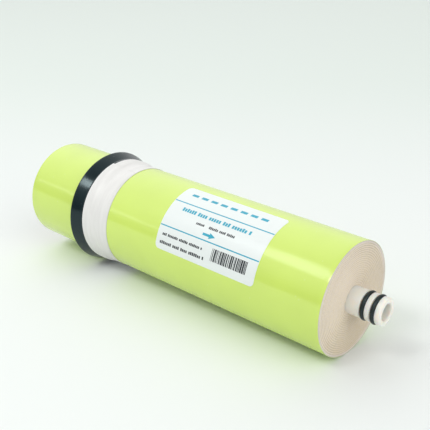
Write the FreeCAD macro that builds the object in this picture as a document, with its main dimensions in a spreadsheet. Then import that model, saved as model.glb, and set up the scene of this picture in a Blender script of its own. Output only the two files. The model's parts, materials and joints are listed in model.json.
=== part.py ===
import FreeCAD, Part
import math
import os
import re
import Sketcher

# Spiral-wound reverse-osmosis membrane element, 75 x 300 mm class, as a parametric document.
#
# Frame, in millimetres: the permeate tube's axis is the X axis, +X leaves through the outlet spigot
# with the two O-rings, +Z is up, and the origin is the centre of the roll's outlet end face.
# Every radius is measured from the tube's axis unless its note says otherwise.

# Driving sizes: alias, value in millimetres or degrees, and what it is.
SIZES = [
    ("tube_radius", 8.5, "outside of the permeate tube"),
    ("bore_radius", 5.2, "inside of the permeate tube"),
    ("feed_stub_length", 20.5, "plain tube beyond the feed end of the roll"),
    ("outlet_stub_length", 22.0, "spigot beyond the outlet end of the roll"),
    ("feed_chamfer", 1.0, "outer chamfer of the feed stub"),
    ("nose_round", 1.2, "outer rounding of the spigot's nose"),
    ("mouth_chamfer", 0.5, "inner chamfer of the bore's mouth"),
    ("port_radius", 1.5, "one permeate port drilled through both walls"),
    ("port_pitch", 50.0, "spacing of the ports of one row along the tube"),
    ("port_margin", 22.0, "first port's distance from the feed end of the roll"),
    ("plug_radius", 6.0, "blind plug and its seat in the feed end of the tube"),
    ("plug_length", 12.0, "blind plug, from its outer face to the seat's shoulder"),
    ("plug_recess", 0.5, "plug's outer face behind the stub's end"),
    ("plug_chamfer", 0.6, "lead-in chamfer on the plug's inner end"),
    ("cord_diameter", 2.65, "O-ring cord"),
    ("groove_depth", 2.05, "O-ring groove below the tube's surface"),
    ("groove_play", 0.55, "groove width beyond the cord's diameter"),
    ("first_ring", 10.3, "middle of the inner O-ring from the roll's outlet face"),
    ("ring_spacing", 6.5, "middle to middle of the two O-rings"),
    ("roll_length", 256.0, "leaf pack between its two end faces"),
    ("roll_radius", 35.25, "leaf pack under the wrap"),
    ("leaf_count", 4, "leaves wound together, so spiral starts on each end face"),
    ("leaf_pitch", 1.3, "one leaf with its spacers, so crest to crest across the turns"),
    ("leaf_relief", 0.4, "valley between two leaf edges below their crests"),
    ("trim_stock", 1.0, "length of the wound blank that the end cuts take off"),
    ("wrap_thickness", 0.4, "outer wrap of film"),
    ("seal_station", 50.3, "edge of the seal's lip from the feed end of the roll"),
    ("lip_reach", 8.5, "lip's length along the axis"),
    ("lip_rise", 3.25, "lip's edge above the seal's base"),
    ("lip_root", 1.2, "lip's thickness at its root"),
    ("lip_edge", 1.0, "lip's thickness at its edge"),
    ("lip_chamfer", 0.25, "chamfer on the lip's two edge corners"),
    ("root_rounding", 2.0, "fillet where the lip leaves the base"),
    ("base_length", 10.2, "seal's base along the axis"),
    ("base_thickness", 1.5, "seal's base on the wrap"),
    ("toe_thickness", 0.3, "seal's base at its thin outlet end"),
    ("toe_length", 2.6, "sloping part of the base, down to the toe"),
    ("tape_thickness", 0.25, "under turns of the seal tape"),
    ("last_turn_thickness", 0.12, "last turn of the seal tape over the others"),
    ("last_turn_shift", 0.7, "last turn's drift along the axis towards the lip"),
    ("last_turn_angle", 285.0, "how far the last turn goes round"),
    ("tape_end_angle", 9.0, "tape's free end from the top, towards -Y"),
    ("tape_inset", 1.5, "under turns' edge from the lip's fillet"),
    ("tape_width", 22.5, "seal tape along the axis"),
    ("label_length", 80.0, "label along the axis"),
    ("label_width", 50.0, "label round the wrap"),
    ("label_thickness", 0.12, "label's film and adhesive"),
    ("label_corner", 3.0, "label's corner radius"),
    ("label_station", 130.2, "label's near edge from the feed end of the roll"),
    ("label_angle", 41.0, "middle of the label from the top, towards -Y"),
]

# Sizes that follow from others: alias, formula on the aliases above, and what it is.
DERIVED = [
    ("tube_length", "feed_stub_length + roll_length + outlet_stub_length", "whole permeate tube"),
    ("seat_depth", "plug_recess + plug_length", "plug's seat from the stub's end"),
    ("wrap_radius", "roll_radius + wrap_thickness", "outside of the wrap"),
    ("base_radius", "wrap_radius + base_thickness", "outside of the seal's base"),
    ("lip_blend", "root_rounding * tan(atan(lip_rise / lip_reach) / 2)", "fillet's reach on the base"),
    ("tape_start", "lip_reach + lip_blend + tape_inset", "under turns' edge from the lip's edge"),
    ("seal_length", "lip_reach + base_length", "seal from the lip's edge to its toe"),
    ("groove_radius", "tube_radius - groove_depth", "floor of the O-ring grooves"),
    ("groove_width", "cord_diameter + groove_play", "O-ring groove along the axis"),
    ("port_room", "roll_length - 2 * port_margin", "length of tube that carries ports"),
    ("leaf_turn", "360 / leaf_count", "sector of one spiral arc, in degrees"),
    ("leaf_apothem", "leaf_pitch / (2 * tan(leaf_turn * 1 deg / 2))", "unwinding polygon's inner radius"),
    ("leaf_corner", "leaf_pitch / (2 * sin(leaf_turn * 1 deg / 2))", "unwinding polygon's outer radius"),
]


def make_sheet(doc):
    """Spreadsheet with one row a size: name, value or formula, note."""
    sheet = doc.addObject("Spreadsheet::Sheet", "Sizes")
    rows = [(name, str(value), note) for name, value, note in SIZES]
    rows += [(name, "=" + formula, note) for name, formula, note in DERIVED]
    for row, (name, content, note) in enumerate(rows, start=1):
        sheet.set(f"A{row}", name)
        sheet.set(f"B{row}", content)
        sheet.set(f"C{row}", note)
        sheet.setAlias(f"B{row}", name)
    doc.recompute()


def sized(formula):
    """The formula with each size's alias written as a reference to the sheet."""
    names = {name for name, _, _ in SIZES + DERIVED}
    return re.sub(r"[a-z_]+", lambda word: ("Sizes." if word[0] in names else "") + word[0], formula)


def make_body(doc, label, station="0", turn="0"):
    """Empty body placed along the axis by station and turned about it by turn degrees."""
    body = doc.addObject("PartDesign::Body", label)
    body.Placement.Rotation = FreeCAD.Rotation(FreeCAD.Vector(1, 0, 0), 90)
    body.setExpression("Placement.Base.x", sized(station))
    body.setExpression("Placement.Rotation.Angle", sized(turn))
    return body


def new_sketch(body, name, role="XY_Plane"):
    """Sketch on one of the body's own origin planes."""
    sketch = body.newObject("Sketcher::SketchObject", name)
    plane = next(item for item in body.Origin.OriginFeatures if item.Role == role)
    sketch.AttachmentSupport = [(plane, "")]
    sketch.MapMode = "FlatFace"
    return sketch


def hold_point(sketch, edge, end, across, up):
    """Tie one point of a sketch to the formulas of its two coordinates."""
    for kind, axis, formula in (("DistanceX", -2, across), ("DistanceY", -1, up)):
        if formula == "0":
            sketch.addConstraint(Sketcher.Constraint("PointOnObject", edge, end, axis))
            continue
        value = float(sketch.evalExpression(sized(formula)))
        index = sketch.addConstraint(Sketcher.Constraint(kind, -1, 1, edge, end, value))
        sketch.setExpression(f"Constraints[{index}]", sized(formula))


def profile_sketch(body, name, corners):
    """Closed outline through corners, each a pair of formulas: along the axis, from the axis."""
    sketch = new_sketch(body, name)
    points = [
        FreeCAD.Vector(*(float(sketch.evalExpression(sized(formula))) for formula in corner), 0)
        for corner in corners
    ]
    for start, finish in zip(points, points[1:] + points[:1]):
        sketch.addGeometry(Part.LineSegment(start, finish))
    for edge, (across, up) in enumerate(corners):
        before = (edge - 1) % len(corners)
        sketch.addConstraint(Sketcher.Constraint("Coincident", before, 2, edge, 1))
        hold_point(sketch, edge, 1, across, up)
    return sketch


def revolve(body, kind, sketch, angle="360"):
    """Revolution or Groove of a profile about the sketch's horizontal axis."""
    feature = body.newObject(f"PartDesign::{kind}", sketch.Name + "Turned")
    feature.Profile = sketch
    feature.ReferenceAxis = (sketch, ["H_Axis"])
    feature.setExpression("Angle", sized(angle))
    feature.Refine = False
    return feature


def rims(feature, station, radius):
    """Names of the circular edges of a feature at one station and radius about the axis."""
    return [
        f"Edge{number}"
        for number, edge in enumerate(feature.Shape.Edges, start=1)
        if edge.Curve.TypeId == "Part::GeomCircle"
        and abs(edge.Curve.Center.x - station) < 1e-4
        and abs(edge.Curve.Radius - radius) < 1e-4
    ]


def dress(body, kind, base, edges, formula):
    """Fillet or Chamfer on the named edges of the feature before it."""
    feature = body.newObject(f"PartDesign::{kind}", base.Name + kind)
    feature.Base = (base, edges)
    feature.setExpression("Radius" if kind == "Fillet" else "Size", sized(formula))
    body.Document.recompute()
    return feature


def permeate_tube(doc):
    """Moulded tube: plain feed stub, ports under the roll, two O-ring grooves in the spigot."""
    body = make_body(doc, "permeate_tube", "-(feed_stub_length + roll_length)")
    wall = profile_sketch(body, "TubeWall", [
        ("seat_depth", "bore_radius"), ("tube_length", "bore_radius"),
        ("tube_length", "tube_radius"), ("0", "tube_radius"),
        ("0", "plug_radius"), ("seat_depth", "plug_radius"),
    ])
    revolve(body, "Revolution", wall)
    groove_start = "feed_stub_length + roll_length + first_ring - groove_width / 2"
    groove_end = "feed_stub_length + roll_length + first_ring + groove_width / 2"
    gland = profile_sketch(body, "RingGroove", [
        (groove_start, "groove_radius"), (groove_end, "groove_radius"),
        (groove_end, "tube_radius + groove_play"), (groove_start, "tube_radius + groove_play"),
    ])
    groove = revolve(body, "Groove", gland)
    pair = body.newObject("PartDesign::LinearPattern", "RingGroovePair")
    pair.Originals = [groove]
    pair.Direction = (gland, ["H_Axis"])
    pair.setExpression("Length", sized("ring_spacing"))
    pair.Occurrences = 2
    body.Tip = pair
    doc.recompute()
    tip = drill_ports(body, "UprightPorts", "XY_Plane", "port_margin")
    tip = drill_ports(body, "LevelPorts", "XZ_Plane", "port_margin + port_pitch / 2")
    sheet = doc.Sizes
    end = sheet.tube_length
    tip = dress(body, "Fillet", tip, rims(tip, end, sheet.tube_radius), "nose_round")
    tip = dress(body, "Chamfer", tip, rims(tip, end, sheet.bore_radius), "mouth_chamfer")
    dress(body, "Chamfer", tip, rims(tip, 0, sheet.tube_radius), "feed_chamfer")
    return body


def drill_ports(body, name, role, first):
    """One row of ports, each through both walls, spaced along the part of tube in the roll."""
    sketch = new_sketch(body, name, role)
    centre = "feed_stub_length + " + first
    spot = FreeCAD.Vector(float(sketch.evalExpression(sized(centre))), 0, 0)
    radius = float(sketch.evalExpression(sized("port_radius")))
    sketch.addGeometry(Part.Circle(spot, FreeCAD.Vector(0, 0, 1), radius))
    hold_point(sketch, 0, 3, centre, "0")
    index = sketch.addConstraint(Sketcher.Constraint("Radius", 0, radius))
    sketch.setExpression(f"Constraints[{index}]", sized("port_radius"))
    drill = body.newObject("PartDesign::Pocket", name + "Drill")
    drill.Profile = sketch
    drill.Type = "ThroughAll"
    drill.SideType = "Symmetric"
    row = body.newObject("PartDesign::LinearPattern", name + "Row")
    row.Originals = [drill]
    row.Direction = (sketch, ["H_Axis"])
    row.Mode = "Spacing"
    row.setExpression("Offset", sized("port_pitch"))
    room = f"(port_room + port_margin - ({first}))"
    row.setExpression("Occurrences", sized(f"floor({room} / port_pitch) + 1"))
    body.Tip = row
    body.Document.recompute()
    return row


def tube_plug(doc):
    """Blind plug pressed against the shoulder of its seat in the feed end."""
    body = make_body(doc, "tube_plug", "plug_recess - feed_stub_length - roll_length")
    outline = profile_sketch(body, "PlugOutline", [
        ("0", "0"), ("plug_length", "0"), ("plug_length", "plug_radius"), ("0", "plug_radius"),
    ])
    turned = revolve(body, "Revolution", outline)
    doc.recompute()
    edges = rims(turned, doc.Sizes.plug_length, doc.Sizes.plug_radius)
    dress(body, "Chamfer", turned, edges, "plug_chamfer")
    return body


def o_ring(doc, label, station):
    """O-ring seated on the floor of its groove, its middle at the station."""
    ring = doc.addObject("Part::Torus", label)
    ring.setExpression("Radius1", sized("groove_radius + cord_diameter / 2"))
    ring.setExpression("Radius2", sized("cord_diameter / 2"))
    ring.Placement = FreeCAD.Placement(FreeCAD.Vector(), FreeCAD.Rotation(FreeCAD.Vector(0, 1, 0), 90))
    ring.setExpression("Placement.Base.x", sized(station))
    return ring


def membrane_roll(doc):
    """Leaf pack wound on the tube, with the leaves' spiral edges cut into both end faces.

    The leaves unwind from a small regular polygon with one corner a leaf, and a side as long as
    the leaf pitch. Round each corner the edges are arcs about it, and each arc's radius changes
    by one pitch at the next corner, so neighbouring leaves stay one pitch apart all the way.
    One zigzag profile turned about one corner cuts all the arcs of that sector, and the polar
    pattern cuts the others. Mirroring puts the same footprint on the other end.
    """
    body = make_body(doc, "membrane_roll", "-roll_length / 2")
    half = "roll_length / 2 + trim_stock"
    blank = profile_sketch(body, "WoundBlank", [
        (f"-({half})", "tube_radius"), (half, "tube_radius"),
        (half, "roll_radius"), (f"-({half})", "roll_radius"),
    ])
    revolve(body, "Revolution", blank)
    doc.recompute()
    sheet = doc.Sizes
    first = sheet.tube_radius - 2 * sheet.leaf_corner
    reach = sheet.roll_radius + 2 * sheet.leaf_corner - first
    crests = math.ceil(reach / sheet.leaf_pitch)
    clear = "roll_length / 2 + 2 * trim_stock"
    crest = "roll_length / 2"
    valley = "roll_length / 2 - leaf_relief"
    start = "tube_radius - 2 * leaf_corner"
    corners = [(clear, f"{start} + {crests} * leaf_pitch"), (clear, start)]
    for count in range(crests):
        corners.append((crest, f"{start} + {count} * leaf_pitch"))
        corners.append((valley, f"{start} + {count + 0.5} * leaf_pitch"))
    corners.append((crest, f"{start} + {crests} * leaf_pitch"))
    zigzag = profile_sketch(body, "LeafEdges", corners)
    zigzag.setExpression("AttachmentOffset.Base.y", sized("leaf_pitch / 2"))
    zigzag.setExpression("AttachmentOffset.Base.z", sized("-leaf_apothem"))
    cut = revolve(body, "Groove", zigzag, "leaf_turn")
    pattern = body.newObject("PartDesign::MultiTransform", "LeafEdgesAllRound")
    pattern.Originals = [cut]
    round_axis = doc.addObject("PartDesign::PolarPattern", "LeafSectors")
    body.addObject(round_axis)
    round_axis.Axis = (blank, ["H_Axis"])
    round_axis.Angle = 360
    round_axis.setExpression("Occurrences", sized("leaf_count"))
    other_end = doc.addObject("PartDesign::Mirrored", "OtherEnd")
    body.addObject(other_end)
    other_end.MirrorPlane = (blank, ["V_Axis"])
    pattern.Transformations = [round_axis, other_end]
    pattern.Refine = False
    body.Tip = pattern
    return body


def outer_wrap(doc):
    """Film wound round the leaf pack, flush with its end faces."""
    body = make_body(doc, "outer_wrap", "-roll_length")
    film = profile_sketch(body, "Film", [
        ("0", "roll_radius"), ("roll_length", "roll_radius"),
        ("roll_length", "wrap_radius"), ("0", "wrap_radius"),
    ])
    revolve(body, "Revolution", film)
    return body


def brine_seal(doc):
    """Rubber seal: a base on the wrap and a lip that flares towards the feed end."""
    body = make_body(doc, "brine_seal", "seal_station - roll_length")
    outline = profile_sketch(body, "SealOutline", [
        ("lip_reach", "wrap_radius"), ("seal_length", "wrap_radius"),
        ("seal_length", "wrap_radius + toe_thickness"), ("seal_length - toe_length", "base_radius"),
        ("lip_reach", "base_radius"), ("0", "base_radius + lip_rise"),
        ("0", "base_radius + lip_rise - lip_edge"), ("lip_reach", "base_radius - lip_root"),
    ])
    turned = revolve(body, "Revolution", outline)
    doc.recompute()
    sheet = doc.Sizes
    root = rims(turned, sheet.lip_reach, sheet.base_radius)
    blended = dress(body, "Fillet", turned, root, "root_rounding")
    crest = sheet.base_radius + sheet.lip_rise
    edge = rims(blended, 0, crest) + rims(blended, 0, crest - sheet.lip_edge)
    dress(body, "Chamfer", blended, edge, "lip_chamfer")
    return body


def tape_outline(body, name, start, thickness):
    """Band of tape that follows the seal's base, its toe and then the wrap."""
    finish = f"{start} + tape_width"
    slope = "seal_length - toe_length"
    landing = "seal_length + toe_thickness"
    under = [(start, "base_radius"), (slope, "base_radius"),
             ("seal_length", "wrap_radius + toe_thickness"), (landing, "wrap_radius"),
             (finish, "wrap_radius")]
    over = [(along, f"{radius} + {thickness}") for along, radius in reversed(under)]
    return profile_sketch(body, name, under + over)


def seal_tape(doc):
    """Tape wound over the seal's base: full under turns and a last turn that drifts and ends."""
    turn = "90 + tape_end_angle"
    body = make_body(doc, "seal_tape", "seal_station - roll_length", turn)
    under = tape_outline(body, "UnderTurns", "tape_start", "tape_thickness")
    revolve(body, "Revolution", under)
    last = tape_outline(body, "LastTurn", "tape_start - last_turn_shift",
                        "tape_thickness + last_turn_thickness")
    revolve(body, "Revolution", last, "last_turn_angle")
    return body


def label(doc):
    """Label bent round the wrap: a rounded block, cut back to a thin skin on the wrap."""
    body = make_body(doc, "label", "label_station - roll_length", "label_angle")
    half = "wrap_radius * sin(label_width / wrap_radius * 90 deg / pi)"
    outline = profile_sketch(body, "LabelOutline", [
        ("0", f"-({half})"), ("label_length", f"-({half})"), ("label_length", half), ("0", half),
    ])
    block = body.newObject("PartDesign::Pad", "LabelBlock")
    block.Profile = outline
    block.setExpression("Length", sized("wrap_radius + 2 * label_thickness"))
    doc.recompute()
    uprights = [
        f"Edge{number}"
        for number, edge in enumerate(block.Shape.Edges, start=1)
        if abs(edge.tangentAt(edge.FirstParameter).z) > 0.999
    ]
    dress(body, "Fillet", block, uprights, "label_corner")
    inside = profile_sketch(body, "UnderLabel", [
        ("-label_length", "0"), ("2 * label_length", "0"),
        ("2 * label_length", "wrap_radius"), ("-label_length", "wrap_radius"),
    ])
    revolve(body, "Groove", inside)
    outside = profile_sketch(body, "OverLabel", [
        ("-label_length", "wrap_radius + label_thickness"),
        ("2 * label_length", "wrap_radius + label_thickness"),
        ("2 * label_length", "wrap_radius + label_width"),
        ("-label_length", "wrap_radius + label_width"),
    ])
    revolve(body, "Groove", outside)
    return body


def check(doc, parts):
    """Stop if any feature failed or any sub-part isn't one valid solid."""
    failed = [item.Name for item in doc.Objects if {"Invalid", "Error"} & set(item.State)]
    if failed:
        raise RuntimeError("failed features: " + ", ".join(failed))
    for part in parts:
        shape = part.Shape
        if shape.isNull() or not shape.isValid() or len(shape.Solids) != 1:
            raise RuntimeError("not one valid solid: " + part.Label)


def main():
    doc = FreeCAD.newDocument("MembraneElement")
    make_sheet(doc)
    makers = (permeate_tube, tube_plug, membrane_roll, outer_wrap, brine_seal, seal_tape, label)
    parts = [make(doc) for make in makers]
    parts.append(o_ring(doc, "o_ring_inner", "first_ring"))
    parts.append(o_ring(doc, "o_ring_outer", "first_ring + ring_spacing"))
    doc.recompute()
    check(doc, parts)
    os.makedirs("parts", exist_ok=True)
    for part in parts:
        part.Shape.exportStep(f"parts/{part.Label}.step")
        box = part.Shape.BoundBox
        print(f"{part.Label}: {part.Shape.Volume / 1000:.2f} cm3, x {box.XMin:.2f} to {box.XMax:.2f}, "
              f"z {box.ZMin:.2f} to {box.ZMax:.2f}")


main()
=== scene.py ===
"""Finish of a spiral-wound reverse-osmosis membrane element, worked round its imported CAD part.

Laid out as an add-on and run as a script. Everything is in metres in the CAD part's own frame:
the permeate tube's axis is X, the outlet spigot points along +X and +Z is up. Angles round the
tube are measured from the top (+Z) towards -Y, which is the label's side.
"""

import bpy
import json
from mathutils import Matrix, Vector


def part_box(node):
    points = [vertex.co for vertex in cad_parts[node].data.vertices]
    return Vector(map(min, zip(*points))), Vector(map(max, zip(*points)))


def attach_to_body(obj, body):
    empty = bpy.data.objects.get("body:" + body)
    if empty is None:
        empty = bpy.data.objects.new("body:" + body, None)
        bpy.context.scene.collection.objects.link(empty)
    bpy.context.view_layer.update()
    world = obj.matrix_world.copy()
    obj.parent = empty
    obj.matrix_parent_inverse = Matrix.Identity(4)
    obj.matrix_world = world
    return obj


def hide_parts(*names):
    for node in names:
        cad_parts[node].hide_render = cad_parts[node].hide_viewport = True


bl_info = {
    "name": "Membrane Element Finish",
    "version": (1, 0, 0),
    "blender": (4, 5, 0),
    "location": "View3D > Sidebar > Membrane",
    "description": "Film, wound leaves, seal, tape, label and tube of a membrane element",
    "category": "Object",
}

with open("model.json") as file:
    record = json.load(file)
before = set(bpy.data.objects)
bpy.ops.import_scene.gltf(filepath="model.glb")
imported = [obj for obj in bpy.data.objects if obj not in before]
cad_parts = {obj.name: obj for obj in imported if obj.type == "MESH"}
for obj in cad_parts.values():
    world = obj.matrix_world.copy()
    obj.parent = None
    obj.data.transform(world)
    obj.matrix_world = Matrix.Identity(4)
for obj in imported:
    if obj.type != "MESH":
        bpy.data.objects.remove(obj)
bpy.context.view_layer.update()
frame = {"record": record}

import json
import math

import bmesh
import bpy
import numpy as np
from bpy.props import FloatProperty, FloatVectorProperty, IntProperty, PointerProperty
from mathutils import Vector

BODY = "root"
MM = 0.001
TURN = 2 * math.pi
COLUMNS = 192


def extent(node):
    """(lowest x, highest x, radius) of a CAD node that is round about X, in metres."""
    low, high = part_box(node)
    return low[0], high[0], high[2]


TUBE_START, TUBE_END, TUBE_RADIUS = extent("permeate_tube")
PLUG_START, PLUG_END, PLUG_RADIUS = extent("tube_plug")
ROLL_START, ROLL_END, ROLL_RADIUS = extent("membrane_roll")
WRAP_RADIUS = extent("outer_wrap")[2]
SEAL_START, SEAL_END = extent("brine_seal")[:2]
TAPE_START, TAPE_END = extent("seal_tape")[:2]
LABEL_START, LABEL_END = extent("label")[:2]
RING_START, RING_END, RING_RADIUS = extent("o_ring_inner")
RING_CORD = RING_END - RING_START
FIRST_RING = (RING_START + RING_END) / 2
RING_SPACING = extent("o_ring_outer")[0] - RING_START
MOUNTS = {mount["name"]: mount["dims"] for mount in frame["record"]["mounts"]}
BORE_RADIUS = MOUNTS["permeate_bore"]["r_mm"] * MM

# Patches of light on the studio's walls and ceiling: middle, sharpness, strength.
WALLS = (
    ((0.0, 0.0, 1.0), 2.0, 0.26),
    ((-0.50, 0.30, 0.80), 6.0, 0.72),
    ((-0.66, 0.75, 0.0), 2.0, 0.38),
    ((0.75, 0.66, 0.0), 2.0, 0.29),
    ((-0.80, 0.02, 0.60), 6.0, 1.07),
    ((-0.50, 0.80, 0.30), 6.0, 1.06),
    ((0.78, -0.12, 0.60), 6.0, 2.65),
    ((0.45, -0.75, 0.45), 6.0, 0.65),
    ((-0.70, -0.65, 0.30), 6.0, 0.24),
    ((-0.50, -0.65, 0.55), 10.0, 0.90),
)

# Lamps: name, sides, and place from the leaf pack's middle, in metres.
LAMPS = (
    ("side", (0.55, 0.55), (-0.89, -0.92, 1.51)),
    ("front", (0.45, 0.45), (-0.27, -1.21, 1.63)),
    ("low", (0.50, 0.12), (-1.47, -1.31, 0.56)),
)
FLOOR_REACH = 6.0
FLOOR_LINES = 25


# ---------------------------------------------------------------- properties

def size(name, description, default):
    """Length property in metres."""
    return FloatProperty(name=name, description=description, default=default,
                         unit="LENGTH", precision=5)


def angle(name, description, degrees):
    """Angle property, given in degrees."""
    return FloatProperty(name=name, description=description, default=math.radians(degrees),
                         subtype="ANGLE")


def amount(name, description, default):
    """Plain number property."""
    return FloatProperty(name=name, description=description, default=default, precision=3)


def colour(name, description, default):
    """Colour property, scene linear."""
    return FloatVectorProperty(name=name, description=description, default=default,
                               subtype="COLOR", size=3, min=0, max=1)


class MEMBRANE_PG_tube(bpy.types.PropertyGroup):
    """Permeate tube, its blind plug and its two O-rings."""

    groove_depth: size("Groove depth", "O-ring groove below the tube's surface", 2.05 * MM)
    groove_play: size("Groove play", "Groove's width beyond the O-ring's cord", 0.55 * MM)
    nose_round: size("Nose rounding", "Outer rounding of the spigot's nose", 1.3 * MM)
    mouth_round: size("Mouth rounding", "Rounding of the bore's mouth", 1.1 * MM)
    stub_chamfer: size("Stub chamfer", "Chamfer of the feed stub", 1.0 * MM)
    plug_dimple: size("Plug dimple", "Depth of the dish in the plug's face", 0.7 * MM)
    plastic: colour("Plastic", "Moulded tube", (0.83, 0.81, 0.75))
    plug_plastic: colour("Plug plastic", "Blind plug", (0.76, 0.76, 0.73))
    rubber: colour("Rubber", "O-rings", (0.005, 0.008, 0.007))


class MEMBRANE_PG_roll(bpy.types.PropertyGroup):
    """Leaf pack with the wound edges of its layers."""

    leaves: IntProperty(name="Leaves", description="Leaves wound together", default=4, min=1)
    pitch: size("Leaf pitch", "One leaf with its spacers", 1.3 * MM)
    relief: size("Relief", "Spacer's gap below the leaf edges", 0.4 * MM)
    unevenness: size("Unevenness", "How far single layers stand back", 0.12 * MM)
    membrane: colour("Membrane", "Cut edge of a membrane sheet", (0.92, 0.82, 0.67))
    carrier: colour("Carrier", "Permeate cloth between two sheets", (0.84, 0.72, 0.54))
    spacer: colour("Spacer", "Feed spacer net", (0.80, 0.69, 0.515))
    # Painted shade: darker, warmer colour that the leaf edges take towards the bottom of the end faces.
    soaked: colour("Soaked", "Lower part that has been wet", (0.66, 0.56, 0.37))
    rim: colour("Rim", "Last turns under the film", (0.79, 0.72, 0.71))
    glue: colour("Glue", "Glue line inside the last turns", (0.92, 0.87, 0.82))


class MEMBRANE_PG_film(bpy.types.PropertyGroup):
    """Outer film round the leaf pack."""

    sag: size("Sag", "Deepest hollow of the film's soft waves", 0.05 * MM)
    edge_round: size("Edge rounding", "Rounding of the film's trimmed ends", 0.12 * MM)
    overlap_step: size("Overlap step", "Film's own thickness at its overlap", 0.1 * MM)
    overlap_width: size("Overlap width", "Film's overlap on itself", 14 * MM)
    overlap_angle: angle("Overlap angle", "Film's free edge", 205)
    lime: colour("Lime", "Film", (0.605, 0.785, 0.130))
    # Partly painted shade: the cut end's own pale colour, greyed down to stand in for the edge's shade.
    trimmed: colour("Trimmed edge", "Cut end of the film", (0.66, 0.66, 0.46))


class MEMBRANE_PG_seal(bpy.types.PropertyGroup):
    """Rubber seal with a lip that flares towards the feed end."""

    lip_reach: size("Lip reach", "Lip's length along the axis", 8.5 * MM)
    lip_rise: size("Lip rise", "Lip's edge above the base", 3.25 * MM)
    lip_root: size("Lip root", "Lip's thickness at its root", 1.2 * MM)
    lip_edge: size("Lip edge", "Lip's thickness at its edge", 1.0 * MM)
    lip_round: size("Lip rounding", "Rounding of the lip's corners", 0.3 * MM)
    root_round: size("Root rounding", "Fillet between lip and base", 2.0 * MM)
    base: size("Base thickness", "Base on the wrap", 1.5 * MM)
    toe: size("Toe thickness", "Base at its thin end", 0.3 * MM)
    toe_length: size("Toe length", "Sloping end of the base", 2.6 * MM)
    rubber: colour("Rubber", "Seal", (0.004, 0.011, 0.013))


class MEMBRANE_PG_tape(bpy.types.PropertyGroup):
    """White tape over the seal's base."""

    thickness: size("Thickness", "Under turns together", 0.25 * MM)
    last_turn: size("Last turn", "Thickness of the last turn", 0.12 * MM)
    drift: size("Drift", "Last turn's shift towards the lip", 1.5 * MM)
    end_angle: angle("End angle", "Tape's free end", 9)
    sweep: angle("Sweep", "How far the last turn goes round", 285)
    slope: size("Slope", "Length over which the tape comes down to the film", 5.2 * MM)
    crease: size("Crease height", "Highest of the creases on the slope", 0.16 * MM)
    white: colour("White", "Tape", (0.78, 0.775, 0.755))
    # Painted shade: grey that the tape takes along its outlet edge, where it steps down to the film.
    adhesive: colour("Adhesive", "Soiled adhesive at the tape's edge", (0.33, 0.33, 0.26))


class MEMBRANE_PG_label(bpy.types.PropertyGroup):
    """Label and its print."""

    width: size("Width", "Label round the wrap", 50 * MM)
    thickness: size("Thickness", "Film and adhesive", 0.12 * MM)
    corner: size("Corner", "Corner radius", 3 * MM)
    middle: angle("Middle", "Label's middle", 41)
    ink: size("Ink", "Print above the label", 0.012 * MM)
    white: colour("White", "Label", (0.79, 0.84, 0.825))
    blue: colour("Blue ink", "Rules, heading and arrow", (0.02, 0.36, 0.50))
    dark: colour("Dark ink", "Lines and bars", (0.015, 0.02, 0.025))


class MEMBRANE_PG_stage(bpy.types.PropertyGroup):
    """Floor, lamps and camera."""

    azimuth: angle("Azimuth", "Camera from -Y towards +X", 41.45)
    elevation: angle("Elevation", "Camera above the horizon", 24.07)
    distance: size("Distance", "Camera from the point that it looks at", 0.4914)
    aim: FloatVectorProperty(name="Aim", description="Point that the camera looks at",
                             default=(-0.10593, 0.0, 0.02176), subtype="XYZ", unit="LENGTH")
    lens: FloatProperty(name="Lens", description="Focal length", default=63.6, unit="CAMERA")
    floor: colour("Floor", "Floor round the part", (0.84, 0.875, 0.86))
    # Painted shade: the floor's colour far behind the part, darker to stand in for less light there.
    far_floor: colour("Far floor", "Floor far behind the part", (0.775, 0.84, 0.795))
    walls: amount("Walls", "Light of the studio's walls and ceiling", 0.775)
    side: amount("Side", "Brightness of the small lamp on the left", 2.1)
    front: amount("Front", "Brightness of the lamp over the camera's left", 12.0)
    low: amount("Low", "Brightness of the low lamp on the left", 1.5)


class MEMBRANE_PG_element(bpy.types.PropertyGroup):
    """All settings of the membrane element."""

    tube: PointerProperty(type=MEMBRANE_PG_tube)
    roll: PointerProperty(type=MEMBRANE_PG_roll)
    film: PointerProperty(type=MEMBRANE_PG_film)
    seal: PointerProperty(type=MEMBRANE_PG_seal)
    tape: PointerProperty(type=MEMBRANE_PG_tape)
    label: PointerProperty(type=MEMBRANE_PG_label)
    stage: PointerProperty(type=MEMBRANE_PG_stage)


# ---------------------------------------------------------------- meshes

def grid_faces(rows, columns, close_rows=False, close_columns=False):
    """Corner numbers of the quads between neighbouring points of a grid, an (n, 4) array."""
    row = np.arange(rows if close_rows else rows - 1)[:, None]
    column = np.arange(columns if close_columns else columns - 1)[None, :]
    next_row = (row + 1) % rows
    next_column = (column + 1) % columns
    corners = (row * columns + column, row * columns + next_column,
               next_row * columns + next_column, next_row * columns + column)
    return np.stack([corner.ravel() for corner in np.broadcast_arrays(*corners)], axis=-1)


def round_tube(along, radius, turned):
    """Points at a place along X, a radius and an angle: (x, -r sin a, r cos a)."""
    along, radius, turned = np.broadcast_arrays(along, radius, turned)
    return np.stack([along, -radius * np.sin(turned), radius * np.cos(turned)], axis=-1)


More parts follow.
